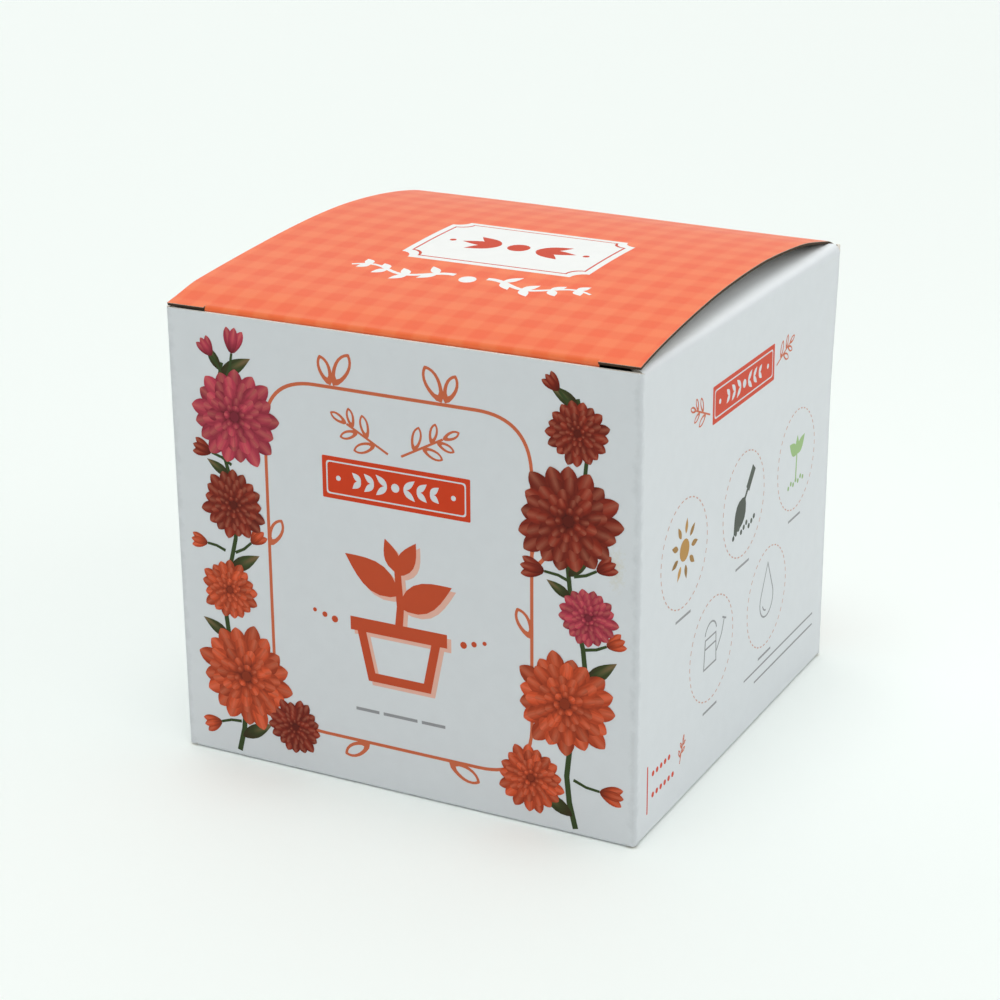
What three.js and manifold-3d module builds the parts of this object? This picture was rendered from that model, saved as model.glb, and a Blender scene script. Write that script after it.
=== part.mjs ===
// A small square folding carton of thin coated board: four walls joined by a glue seam, a locked
// bottom of four flaps, and a bowed lid whose tuck flap goes in behind the front wall, over two
// dust flaps. It stands closed. Millimetres, +Z up, origin at the centre of the footprint on the
// surface it stands on, -Y to the front.

import * as THREE from 'three';
import { mergeVertices } from 'three/addons/utils/BufferGeometryUtils.js';
import Module from 'manifold-3d';

// ---- driving dimensions ----

const WIDTH = 85; // outside, along X
const DEPTH = 85; // outside, along Y
const WALL_HEIGHT = 79.5; // floor to the cut edge of the front wall
const BOARD = 0.5; // thickness of the board
const GAP = 0.3; // free gap between neighbouring panels
const CREASE_RADIUS = 0.8; // outside radius of an upright crease

const LID_SIDE_SETBACK = 0.3; // each side edge of the lid lies this far inside the wall's face
const LID_RISE_LEFT = 3.8; // bow of the lid above its creases, along its left edge
const LID_RISE_RIGHT = 4.6; // the same along its right edge
const LID_LEAN_LEFT = 0.3; // how far the bow's crest leans to the back, 0 is an even bow
const LID_LEAN_RIGHT = 0.06;
const LID_STEPS_ALONG = 28; // flat steps that the bow is made of
const LID_STEPS_ACROSS = 8;

const TUCK_DEPTH = 14.5; // crease to free edge
const TUCK_LEAN = THREE.MathUtils.degToRad(10); // the closed flap leans in from the front wall
const TUCK_SIDE_GAP = 0.6; // free gap from the flap's ends to the side walls
const TUCK_CORNER = 8;
const SLIT_LENGTH = 7; // lock slit at each end of the tuck crease

const DUST_LENGTH = 40; // crease to tip
const DUST_FRONT_SETBACK = 5.5; // keeps the flap behind the tuck flap's swing
const DUST_BACK_SETBACK = 1.1;
const DUST_BACK_TAPER = THREE.MathUtils.degToRad(22); // keeps the flap under the opening lid
const DUST_FRONT_TAPER = THREE.MathUtils.degToRad(9);
const DUST_CORNER = 5;

const GLUE_FLAP_WIDTH = 12;
const GLUE_FLAP_END = 3; // its upright edge stops this far from the base and from the rim
const GLUE_FLAP_TAPER = THREE.MathUtils.degToRad(20);

const BOTTOM_HOOK = 12; // the two large bottom flaps meet on a stepped line, this far off centre
const BOTTOM_HOOK_END = 5; // how far off centre that line starts at the side walls
const BOTTOM_SIDE_LENGTH = 36; // the two inner bottom flaps, crease to tip
const BOTTOM_SIDE_TAPER = THREE.MathUtils.degToRad(40);

const CURVE_SEGMENTS = 6; // flat steps of each rounded corner

const INK_WHITE = 0xdfe5e8;
const INK_ORANGE = 0xf2734c;
const BARE_BOARD = 0xe6e4de;

// ---- worked-out sizes ----

const INNER_X = WIDTH / 2 - BOARD; // inner faces of the side walls
const INNER_Y = DEPTH / 2 - BOARD; // inner faces of the front and back walls
const SIDE_WALL_TOP = WALL_HEIGHT - BOARD - GAP; // the dust flaps lie over the side walls
const LID_UNDERSIDE = WALL_HEIGHT + GAP; // at the lid's creases
const LID_HALF_WIDTH = WIDTH / 2 - LID_SIDE_SETBACK;
const EAR_INNER_X = LID_HALF_WIDTH - SLIT_LENGTH; // the tuck crease runs between the two ears
const LID_FRONT = -(DEPTH / 2 - LID_SIDE_SETBACK); // front edge of the lid's two ears
const TUCK_PIVOT_Y = -(INNER_Y - GAP - BOARD); // inner corner of the tuck crease

const manifoldLibrary = await Module();
manifoldLibrary.setup();

// ---- materials ----

function boardMaterial(color, roughness) {
  return new THREE.MeshStandardMaterial({ color, roughness, metalness: 0 });
}

const coatedWhite = boardMaterial(INK_WHITE, 0.45);
const coatedOrange = boardMaterial(INK_ORANGE, 0.45);
const bareBoard = boardMaterial(BARE_BOARD, 0.85);

// ---- shape helpers ----

function panel(name, geometry, material, parent) {
  const mesh = new THREE.Mesh(geometry, material);
  mesh.name = name;
  parent.add(mesh);
  return mesh;
}

function sheet(outline, thickness) {
  return new THREE.ExtrudeGeometry(outline, {
    depth: thickness,
    bevelEnabled: false,
    curveSegments: CURVE_SEGMENTS,
  });
}

function polygon(points) {
  return new THREE.Shape(points.map(([x, y]) => new THREE.Vector2(x, y)));
}

// A closed outline through the points, with the corners that carry a radius rounded off.
function roundedOutline(corners) {
  const outline = new THREE.Shape();
  corners.forEach(([x, y, radius = 0], index) => {
    const corner = new THREE.Vector2(x, y);
    const before = new THREE.Vector2(...corners.at(index - 1));
    const after = new THREE.Vector2(...corners[(index + 1) % corners.length]);
    const start = before.sub(corner).setLength(radius).add(corner);
    const end = after.sub(corner).setLength(radius).add(corner);
    if (index === 0) {
      outline.moveTo(start.x, start.y);
    } else {
      outline.lineTo(start.x, start.y);
    }
    if (radius > 0) {
      outline.quadraticCurveTo(x, y, end.x, end.y);
    }
  });
  outline.closePath();
  return outline;
}

function toManifold(geometry) {
  const bare = geometry.clone();
  bare.deleteAttribute('normal');
  bare.deleteAttribute('uv');
  const merged = mergeVertices(bare);
  const mesh = new manifoldLibrary.Mesh({
    numProp: 3,
    vertProperties: new Float32Array(merged.attributes.position.array),
    triVerts: new Uint32Array(merged.index.array),
  });
  return new manifoldLibrary.Manifold(mesh);
}

function fromManifold(solid) {
  const mesh = solid.getMesh();
  const geometry = new THREE.BufferGeometry();
  geometry.setAttribute('position', new THREE.BufferAttribute(mesh.vertProperties, 3));
  geometry.setIndex(new THREE.BufferAttribute(mesh.triVerts, 1));
  return geometry;
}

// ---- walls ----

// Plan outline of a wall: its outer face on y = 0, the board towards +y. Both ends turn towards
// the neighbouring walls and stop at a mitre, which leaves GAP across the corner's diagonal.
function wallSection(span) {
  const bendX = span / 2 - CREASE_RADIUS;
  const bendAngle = Math.PI / 4 - Math.asin(GAP / 2 / CREASE_RADIUS);
  const innerX = bendX + CREASE_RADIUS - BOARD - GAP / Math.SQRT2;
  const outward = -Math.PI / 2;
  const section = new THREE.Shape();
  section.absarc(bendX, CREASE_RADIUS, CREASE_RADIUS, outward, outward + bendAngle, false);
  section.lineTo(innerX, BOARD);
  section.lineTo(-innerX, BOARD);
  section.absarc(-bendX, CREASE_RADIUS, CREASE_RADIUS, outward - bendAngle, outward, false);
  return section;
}

function addWall(name, span, height, x, y, turn, parent) {
  const wall = panel(name, sheet(wallSection(span), height), coatedWhite, parent);
  wall.position.set(x, y, 0);
  wall.rotation.z = turn;
}

// The glue flap carries on from the left wall and lies against the back wall's inside.
function addGlueFlap(parent) {
  const edge = -(INNER_X - GAP);
  const free = edge + GLUE_FLAP_WIDTH;
  const slope = GLUE_FLAP_WIDTH * Math.tan(GLUE_FLAP_TAPER);
  const low = GLUE_FLAP_END;
  const high = SIDE_WALL_TOP - GLUE_FLAP_END;
  const outline = polygon([
    [edge, low],
    [free, low + slope],
    [free, high - slope],
    [edge, high],
  ]);
  const flap = panel('glue_flap', sheet(outline, BOARD), bareBoard, parent);
  flap.rotation.x = Math.PI / 2;
  flap.position.y = INNER_Y - GAP;
}

// ---- bottom ----

// The front and back flaps lie lowest and meet on a stepped line; the left and right flaps lie
// on them, inside.
function addBottomFlaps(parent) {
  const halfX = INNER_X - GAP;
  const halfY = INNER_Y - GAP;
  const half = GAP / 2;
  const large = polygon([
    [-halfX, -halfY],
    [halfX, -halfY],
    [halfX, BOTTOM_HOOK_END - half],
    [half, BOTTOM_HOOK - half],
    [half, -BOTTOM_HOOK - half],
    [-halfX, -BOTTOM_HOOK_END - half],
  ]);
  panel('bottom_flap_front', sheet(large, BOARD), coatedWhite, parent);
  const back = panel('bottom_flap_back', sheet(large, BOARD), coatedWhite, parent);
  back.rotation.z = Math.PI;

  const slope = BOTTOM_SIDE_LENGTH * Math.tan(BOTTOM_SIDE_TAPER);
  const tip = halfX - BOTTOM_SIDE_LENGTH;
  const side = polygon([
    [halfX, -halfY],
    [halfX, halfY],
    [tip, halfY - slope],
    [tip, -halfY + slope],
  ]);
  const right = panel('bottom_flap_right', sheet(side, BOARD), bareBoard, parent);
  right.position.z = BOARD + GAP;
  const left = panel('bottom_flap_left', sheet(side, BOARD), bareBoard, parent);
  left.position.z = BOARD + GAP;
  left.rotation.z = Math.PI;
}

// ---- lid ----

// Height of the bowed lid above its creases: half a wave from the back crease to the front one,
// its rise and the lean of its crest running evenly from the left edge to the right edge.
function bowHeight(x, y) {
  const across = (x + LID_HALF_WIDTH) / (2 * LID_HALF_WIDTH);
  const rise = THREE.MathUtils.lerp(LID_RISE_LEFT, LID_RISE_RIGHT, across);
  const lean = THREE.MathUtils.lerp(LID_LEAN_LEFT, LID_LEAN_RIGHT, across);
  const phase = (Math.PI * y) / DEPTH;
  return rise * Math.cos(phase) * (1 + lean * Math.sin(phase));
}

function addLidPanel(parent) {
  const back = DEPTH / 2 - GAP;
  const length = back - LID_FRONT;
  const geometry = new THREE.BoxGeometry(
    2 * LID_HALF_WIDTH,
    length,
    BOARD,
    LID_STEPS_ACROSS,
    LID_STEPS_ALONG,
    1,
  );
  geometry.translate(0, (LID_FRONT + back) / 2, LID_UNDERSIDE + BOARD / 2);
  const position = geometry.attributes.position;
  for (let i = 0; i < position.count; i += 1) {
    const bow = bowHeight(position.getX(i), position.getY(i));
    position.setZ(i, position.getZ(i) + bow);
  }

  // Between the ears the lid stops at the tuck crease, behind the front wall.
  const creaseEdge = TUCK_PIVOT_Y + GAP;
  const recess = new THREE.BoxGeometry(2 * EAR_INNER_X, DEPTH, WALL_HEIGHT);
  recess.translate(0, creaseEdge - DEPTH / 2, WALL_HEIGHT);
  const solid = toManifold(geometry).subtract(toManifold(recess));
  panel('lid_panel', fromManifold(solid), coatedOrange, parent);
}

// The tuck flap is drawn hanging straight down from its crease, then leans in by TUCK_LEAN. Its
// shoulders start low enough to clear the lid's ears when the flap is folded out flat.
function addTuckFlap(parent) {
  const halfWidth = INNER_X - TUCK_SIDE_GAP;
  const shoulder = LID_FRONT - TUCK_PIVOT_Y - GAP;
  const outline = roundedOutline([
    [-EAR_INNER_X, -GAP],
    [-EAR_INNER_X, shoulder],
    [-halfWidth, shoulder],
    [-halfWidth, -TUCK_DEPTH, TUCK_CORNER],
    [halfWidth, -TUCK_DEPTH, TUCK_CORNER],
    [halfWidth, shoulder],
    [EAR_INNER_X, shoulder],
    [EAR_INNER_X, -GAP],
  ]);
  const crease = new THREE.Group();
  crease.position.set(0, TUCK_PIVOT_Y, LID_UNDERSIDE);
  crease.rotation.x = TUCK_LEAN;
  parent.add(crease);
  const flap = panel('tuck_flap', sheet(outline, BOARD), coatedOrange, crease);
  flap.rotation.x = Math.PI / 2;
}

// A dust flap's outline for the right side, its crease along x = WIDTH / 2.
function dustOutline(side) {
  const crease = WIDTH / 2 - GAP;
  const tip = WIDTH / 2 - DUST_LENGTH;
  const front = -(DEPTH / 2 - DUST_FRONT_SETBACK);
  const back = DEPTH / 2 - DUST_BACK_SETBACK;
  const tipFront = front + (crease - tip) * Math.tan(DUST_FRONT_TAPER);
  const tipBack = back - (crease - tip) * Math.tan(DUST_BACK_TAPER);
  const corners = [
    [side * crease, front],
    [side * crease, back],
    [side * tip, tipBack, DUST_CORNER],
    [side * tip, tipFront, DUST_CORNER],
  ];
  return roundedOutline(side > 0 ? corners : corners.reverse());
}

function addDustFlap(name, side, parent) {
  const flap = panel(name, sheet(dustOutline(side), BOARD), coatedWhite, parent);
  flap.position.z = WALL_HEIGHT - BOARD;
}

// ---- assembly ----

const carton = new THREE.Group();
addWall('wall_front', WIDTH, WALL_HEIGHT, 0, -DEPTH / 2, 0, carton);
addWall('wall_right', DEPTH, SIDE_WALL_TOP, WIDTH / 2, 0, Math.PI / 2, carton);
addWall('wall_back', WIDTH, WALL_HEIGHT, 0, DEPTH / 2, Math.PI, carton);
addWall('wall_left', DEPTH, SIDE_WALL_TOP, -WIDTH / 2, 0, -Math.PI / 2, carton);
addGlueFlap(carton);
addBottomFlaps(carton);
addLidPanel(carton);
addTuckFlap(carton);
addDustFlap('dust_flap_left', -1, carton);
addDustFlap('dust_flap_right', 1, carton);

export default carton;
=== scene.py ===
"""Dresses a small folding carton of printed board: the folded blank itself, with its creases, cut
edges and bare inside, and everything that is printed on it. Lengths are in millimetres."""

import math
from dataclasses import dataclass

import bpy
import numpy as np
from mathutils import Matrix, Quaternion, Vector
from mathutils.geometry import delaunay_2d_cdt


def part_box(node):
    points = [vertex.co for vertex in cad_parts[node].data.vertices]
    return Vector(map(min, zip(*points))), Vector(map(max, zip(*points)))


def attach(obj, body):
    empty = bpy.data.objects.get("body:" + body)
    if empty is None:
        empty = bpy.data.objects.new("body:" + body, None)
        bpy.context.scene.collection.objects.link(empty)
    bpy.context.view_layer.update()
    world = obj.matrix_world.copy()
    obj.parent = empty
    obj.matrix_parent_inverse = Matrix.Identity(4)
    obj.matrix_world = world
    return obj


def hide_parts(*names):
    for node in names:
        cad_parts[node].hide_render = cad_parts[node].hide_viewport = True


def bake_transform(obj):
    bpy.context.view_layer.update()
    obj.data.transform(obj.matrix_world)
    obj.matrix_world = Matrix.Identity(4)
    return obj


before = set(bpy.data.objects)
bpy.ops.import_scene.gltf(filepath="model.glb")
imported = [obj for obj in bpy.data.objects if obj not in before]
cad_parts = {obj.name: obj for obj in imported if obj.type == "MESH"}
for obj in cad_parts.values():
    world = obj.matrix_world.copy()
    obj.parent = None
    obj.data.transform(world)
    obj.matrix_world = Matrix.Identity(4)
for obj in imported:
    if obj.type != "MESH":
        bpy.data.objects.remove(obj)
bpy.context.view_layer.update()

MM = 0.001


def box_mm(node):
    low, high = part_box(node)
    return np.array(low) / MM, np.array(high) / MM


# ---- sizes, from the frame ----

FRONT_WALL = box_mm("wall_front")
DUST_RIGHT = box_mm("dust_flap_right")
LID_PANEL = box_mm("lid_panel")
TUCK_FLAP = box_mm("tuck_flap")
GLUE_FLAP = box_mm("glue_flap")

HALF = -FRONT_WALL[0][1]  # half the carton's depth, and half its width
SIDE = 2 * HALF
WALL_TOP = FRONT_WALL[1][2]
BOARD = DUST_RIGHT[1][2] - DUST_RIGHT[0][2]
LID_HALF_WIDTH = LID_PANEL[1][0]

# ---- creases and cut edges ----

BACK_RADIUS = 0.8  # outside radius of the lid's back crease
FRONT_RADIUS = 0.75  # and of its front crease
DUST_RADIUS = 1.5  # the dust flaps spring back, in a soft crease
UPRIGHT_RADIUS = 0.65  # outside radius of an upright crease
FLAT = HALF - UPRIGHT_RADIUS  # a wall is flat this far from its middle
FOOT_RADIUS = 0.8  # outside radius of the creases at the base
SIDE_FOOT = 0.15  # the side walls' lower creases stay this far off the floor
SIDE_RISE = 1.2  # their flaps rise over the large ones within this length
CORNER_FOOT = 0.4  # an upright crease is cut off this far above the floor
SEAM = WALL_TOP - 2.0  # the lid's and dust flaps' own pieces start here on the walls
CORNER_RIM = WALL_TOP - 0.1  # the rim at the back corners, where two creases meet
FRONT_RIM_LEFT = WALL_TOP - 0.42  # the front wall is cut a little lower than the others
FRONT_RIM_RIGHT = WALL_TOP - 0.15
ARC_NOMINAL = 1.2  # length of a crease at the rim in the blank
SHEET_GAP = 0.05  # between two sheets of board that touch
EDGE_SETBACK = 0.3  # the front rim and the lid's two ears end this far inside the walls' faces
SIDE_RIM = WALL_TOP - 0.4  # the side walls' rim at the front corners
LID_STRIP_EDGE = HALF - 0.8  # half the width of the lid's strip on the back wall
GLUE_START = 0.35  # the upright edges at the glued corner, in the blank
RAW_EDGE = 4 * SIDE - 0.5
BULGE = (0.2, 0.15, 0.25, -0.15)  # outward bow of the left, front, right and back walls
FLARE = 0.6  # the back right corner leans out by this much at the rim
FLARE_START = (30, 8, 50)  # the lean grows from this place
FLARE_REACH = (12, 34, 30)

# ---- lid ----

LID_RISE_LEFT = 3.67  # height of the bow along the lid's left edge
LID_RISE_RIGHT = 3.37
LID_LEAN_LEFT = 0.27  # how far its crest leans to the back, 0 is an even bow
LID_LEAN_RIGHT = 0.07
LID_FULLNESS_LEFT = 0.73  # under 1 its ends are steeper than a cosine's
LID_FULLNESS_RIGHT = 0.78
LID_TOP = LID_PANEL[0][2] + BOARD  # the printed face at the creases
FRONT_DROP_LEFT = 0.6  # the closed flap pulls the lid's front edge down
FRONT_DROP_RIGHT = 0.05
FRONT_DROP_Y = 9.0 - HALF  # the drop starts here
FRONT_DROP_REACH = 8.0
BACK_DROP = 0.64  # its back crease falls this much to the right
BACK_DROP_X = -33.5
BACK_DROP_Y = 28.0
SLIT_LENGTH = 7.0
EAR_INNER = LID_HALF_WIDTH - SLIT_LENGTH
EAR_FRONT = EDGE_SETBACK - HALF
LID_BACK_HALF_WIDTH = LID_HALF_WIDTH - 1.2
LID_NECK = (0.9, 0.2)  # its strip changes width between these distances before the panel
LID_INSET_LEFT = 0.4  # its edges are drawn in by this much in the middle
LID_INSET_RIGHT = 1.6
LID_INSET_PLACES = ((30, 1.0), (52, 0.7))  # distance from the back crease, share of the inset
BACK_CREASE_Y = HALF - BACK_RADIUS
FRONT_CREASE_Y = -(HALF - BOARD - SHEET_GAP - FRONT_RADIUS)
TUCK_LEAN = math.radians(10)
TUCK_LENGTH = 14.4
TUCK_SHOULDER = 1.3
TUCK_CORNER = 8.0
TUCK_HALF_WIDTH = TUCK_FLAP[1][0]

# ---- flaps ----

DUST_CREASE_Z = WALL_TOP - DUST_RADIUS
DUST_ARC = 2.2  # length of a dust flap's crease in the blank
DUST_FRONT = DUST_RIGHT[0][1]
DUST_CREASE_FRONT = -(HALF - 1.2)
DUST_LIFT = 0.4  # slope of the flaps at their creases, in the middle, where the lid is highest
DUST_BEND = 8.0  # they are level this far from their creases
DUST_BACK = HALF - 0.55
DUST_TIP = DUST_RIGHT[0][0]
DUST_FRONT_TAPER = math.radians(9)
DUST_BACK_TAPER = math.radians(22)
DUST_CORNER = 5.0
DUST_NECK = (0.4, 4.5)  # its front edge slants between these distances from its crease
DUST_MIDDLE = 24.0  # it is also divided here
GLUE_LENGTH = GLUE_FLAP[1][0] - GLUE_FLAP[0][0]
GLUE_LOW = GLUE_FLAP[0][2]
GLUE_HIGH = GLUE_FLAP[1][2]
GLUE_TAPER = math.radians(20)
GLUE_NECK = 1.0  # its ends slant over this height in the crease
FLAP_EDGE = HALF - 1.6  # the large bottom flaps are cut this far from their middle
SIDE_FLAP_EDGE = HALF - 1.5
FLAP_NICK = 0.1  # the cut beside a bottom flap is this wide at its foot
HOOK_DEPTHS = (37.3, 30.3, 54.3, 47.3)  # the stepped meeting line, from the wall's face
HOOK_MIDDLE = 0.15  # where it steps
SIDE_FLAP_DEPTH = 36.8
SIDE_FLAP_TIP = 11.5  # half the width of its free edge


# ---- shaping the blank ----


def smoothstep(t):
    t = np.clip(t, 0, 1)
    return t * t * (3 - 2 * t)


def flared(points):
    """Leans the rim out near the back right corner."""
    share = smoothstep((points - FLARE_START) / FLARE_REACH).prod(1)
    return points + np.outer(share, (FLARE, 0, 0))


def along_out_to_plan(wall, along, out):
    """A place along a wall and out from the carton's axis, for left, front, right and back."""
    direction = np.array([(0, -1), (1, 0), (0, 1), (-1, 0)])[wall]
    outward = np.array([(-1, 0), (0, -1), (1, 0), (0, 1)])[wall]
    return direction * along[:, None] + outward * out[:, None]


def fold_walls(blank, depth):
    """Folds the four walls and what hangs on them below. u runs round the carton from the glued
    corner, v up from the base. depth is how far below the printed face a point lies."""
    u, v = blank[:, 0], blank[:, 1]
    wall = np.clip(np.floor(u / SIDE), 0, 3).astype(int)
    s = u - wall * SIDE - HALF
    on_side = (wall == 0) | (wall == 2)
    foot = np.where(on_side, SIDE_FOOT, 0.0)

    radius = UPRIGHT_RADIUS - depth
    angle = np.clip(np.abs(s) - FLAT, 0, None) / UPRIGHT_RADIUS * math.pi / 4
    along = np.sign(s) * (np.minimum(np.abs(s), FLAT) + radius * np.sin(angle))
    out = FLAT + radius * np.cos(angle)
    z = v + foot * np.clip((SEAM - v) / (SEAM - FOOT_RADIUS), 0, 1)

    bulge = np.array(BULGE)[wall] * np.cos(math.pi * s / SIDE) ** 2
    bulge *= np.sin(math.pi * np.clip((v - FOOT_RADIUS) / (SEAM - FOOT_RADIUS), 0, 1)) ** 2
    out += bulge

    # The back wall's raw edge stays flat at the glued corner.
    raw = (wall == 3) & (s > FLAT)
    along[raw] = s[raw]
    out[raw] = HALF - depth

    # The left wall turns in behind it and runs on as the glue flap.
    turn_middle = HALF - BOARD - SHEET_GAP - UPRIGHT_RADIUS
    turned = (wall == 0) & (s < -turn_middle)
    length = -turn_middle - s[turned]
    arc = np.clip(length / UPRIGHT_RADIUS, 0, math.pi / 2)
    straight = np.clip(length - UPRIGHT_RADIUS * math.pi / 2, 0, None)
    along[turned] = -turn_middle - radius * np.sin(arc)
    out[turned] = FLAT + radius * np.cos(arc) - straight

    # Below the walls the bottom flaps turn in. The side flaps rise over the large ones.
    flap = (v < FOOT_RADIUS) & (np.abs(s) < np.where(on_side, SIDE_FLAP_EDGE, FLAP_EDGE) + FLAP_NICK / 2)
    turn = np.clip(1 - v[flap] / FOOT_RADIUS, 0, 1) * math.pi / 2
    inward = np.clip(-v[flap], 0, None)
    foot_radius = FOOT_RADIUS - depth
    along[flap] = s[flap]
    out[flap] = HALF - FOOT_RADIUS + foot_radius * np.cos(turn) - inward
    rise = np.where(on_side[flap], (BOARD - SIDE_FOOT + SHEET_GAP) * smoothstep(inward / SIDE_RISE), 0.0)
    z[flap] = foot[flap] + FOOT_RADIUS - foot_radius * np.sin(turn) + rise
    return flared(np.column_stack([along_out_to_plan(wall, along, out), z]))


def across_lid(x, left, right):
    """A value that changes evenly from the lid's left edge to its right one."""
    return left + (right - left) * (x + LID_HALF_WIDTH) / (2 * LID_HALF_WIDTH)


def bow(x, y):
    """Height of the lid's printed face above its level at the creases."""
    phase = math.pi * y / SIDE
    fullness = across_lid(x, LID_FULLNESS_LEFT, LID_FULLNESS_RIGHT)
    crown = np.maximum(np.cos(phase), 0) ** fullness
    lean = across_lid(x, LID_LEAN_LEFT, LID_LEAN_RIGHT) * np.sin(phase)
    drop = across_lid(x, FRONT_DROP_LEFT, FRONT_DROP_RIGHT)
    drop *= smoothstep((FRONT_DROP_Y - y) / FRONT_DROP_REACH)
    to_right = smoothstep((x - BACK_DROP_X) / (LID_HALF_WIDTH - BACK_DROP_X))
    drop += BACK_DROP * to_right * smoothstep((y - BACK_DROP_Y) / (HALF - BACK_DROP_Y))
    return across_lid(x, LID_RISE_LEFT, LID_RISE_RIGHT) * crown * (1 + lean) - drop


def bow_angle(x, y):
    """Slope of the lid towards the back, as an angle."""
    step = 0.05
    return np.arctan((bow(x, y + step) - bow(x, y - step)) / (2 * step))


LID_PANEL_START = WALL_TOP - SEAM + ARC_NOMINAL
LID_PANEL_LENGTH = BACK_CREASE_Y - FRONT_CREASE_Y
FRONT_CREASE_START = LID_PANEL_START + LID_PANEL_LENGTH
LID_END = FRONT_CREASE_START - 2  # the lid's piece ends here and the tuck flap's starts
TUCK_START = FRONT_CREASE_START + ARC_NOMINAL


def fold_lid(blank, depth):
    """Folds the strip that starts on the back wall and runs over the bowed lid. The blank's second
    coordinate starts at the seam on the back wall."""
    x, q = blank[:, 0], blank[:, 1]
    slope = -bow_angle(x, BACK_CREASE_Y)
    back_y = BACK_CREASE_Y + BACK_RADIUS * np.sin(slope)
    back_z = LID_TOP + bow(x, back_y) - BACK_RADIUS * np.cos(slope)
    turn = np.clip((q - WALL_TOP + SEAM) / ARC_NOMINAL, 0, 1) * (math.pi / 2 - slope)
    y = BACK_CREASE_Y + (BACK_RADIUS - depth) * np.cos(turn)
    z = back_z + (BACK_RADIUS - depth) * np.sin(turn)
    z += (SEAM - back_z) * np.clip(1 - q / (WALL_TOP - SEAM), 0, 1)

    panel = q >= LID_PANEL_START
    share = (q - LID_PANEL_START) / LID_PANEL_LENGTH
    front_y = FRONT_CREASE_Y - FRONT_RADIUS * np.sin(bow_angle(x, FRONT_CREASE_Y))
    flat_y = back_y + share * (front_y - back_y)
    slope = bow_angle(x, flat_y)
    flat_z = LID_TOP + bow(x, flat_y)
    y = np.where(panel, flat_y + depth * np.sin(slope), y)
    z = np.where(panel, flat_z - depth * np.cos(slope), z)
    return np.column_stack([x, y, z])


def fold_tuck(blank, depth):
    """Folds the lid's front strip over its crease and down into the tuck flap."""
    x, q = blank[:, 0], blank[:, 1]
    slope = bow_angle(x, FRONT_CREASE_Y)
    front_y = FRONT_CREASE_Y - FRONT_RADIUS * np.sin(slope)
    front_z = LID_TOP + bow(x, front_y) - FRONT_RADIUS * np.cos(slope)
    share = np.clip((q - FRONT_CREASE_START) / ARC_NOMINAL, 0, 1)
    turn = slope + share * (math.pi / 2 + TUCK_LEAN - slope)
    below = np.clip(q - TUCK_START, 0, None)
    radius = FRONT_RADIUS - depth
    y = FRONT_CREASE_Y - radius * np.sin(turn) + below * math.sin(TUCK_LEAN)
    z = front_z + radius * np.cos(turn) - below * math.cos(TUCK_LEAN)
    down = (q > FRONT_CREASE_START)[:, None]
    return np.where(down, np.column_stack([x, y, z]), fold_lid(blank, depth))


def lid_blank_place(y):
    """The blank's second coordinate of a place on the lid, from its distance to the back."""
    return LID_PANEL_START + BACK_CREASE_Y - y


def fold_dust(side):
    """Folds a dust flap, on the right for side 1 and on the left for side -1."""

    def fold(blank, depth):
        y, q = blank[:, 0], blank[:, 1]
        straight = DUST_CREASE_Z - SEAM
        slope = DUST_LIFT * np.cos(math.pi * y / SIDE)
        turn = np.clip((q - straight) / DUST_ARC, 0, 1) * (math.pi / 2 - np.arctan(slope))
        radius = DUST_RADIUS - depth
        inward = np.clip(q - straight - DUST_ARC, 0, None)
        x = HALF - DUST_RADIUS + radius * np.cos(turn) - inward
        bent = np.minimum(inward, DUST_BEND)
        rise = slope * (bent - bent**2 / (2 * DUST_BEND))
        z = SEAM + np.minimum(q, straight) + radius * np.sin(turn) + rise
        return flared(np.column_stack([side * x, y, z]))

    return fold


# ---- cutting the blank ----


def rounded(corners, steps=8):
    """An outline through the corners (x, y, radius), with the corners that have one rounded."""
    points = []
    for i, (x, y, *radius) in enumerate(corners):
        corner = Vector((x, y))
        if not radius:
            points.append(corner)
            continue
        before = Vector(corners[i - 1][:2]) - corner
        after = Vector(corners[(i + 1) % len(corners)][:2]) - corner
        start = corner + before.normalized() * radius[0]
        end = corner + after.normalized() * radius[0]
        for k in range(steps + 1):
            t = k / steps
            points.append(start * (1 - t) ** 2 + corner * 2 * t * (1 - t) + end * t * t)
    return [tuple(p) for p in points]


def bottom_flaps():
    """The two kinds of bottom flap, from their left foot to their right one."""
    side = [
        (SIDE_FLAP_TIP, FOOT_RADIUS - SIDE_FLAP_DEPTH),
        (SIDE_FLAP_EDGE, -1.0),
        (SIDE_FLAP_EDGE, FOOT_RADIUS),
        (SIDE_FLAP_EDGE + FLAP_NICK, CORNER_FOOT),
    ]
    places = (-FLAP_EDGE, HOOK_MIDDLE, HOOK_MIDDLE, FLAP_EDGE)
    large = [(-FLAP_EDGE - FLAP_NICK, CORNER_FOOT), (-FLAP_EDGE, FOOT_RADIUS)]
    large += [(s, FOOT_RADIUS - depth) for s, depth in zip(places, HOOK_DEPTHS)]
    large += [(FLAP_EDGE, FOOT_RADIUS), (FLAP_EDGE + FLAP_NICK, CORNER_FOOT)]
    return [(-s, v) for s, v in reversed(side)] + side, large


def notch(low, high, low_rim, high_rim):
    """Where a flap's own piece starts at the seam, below the rim on both its sides."""
    return [(high, high_rim), (high, SEAM), (low, SEAM), (low, low_rim)]


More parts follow.
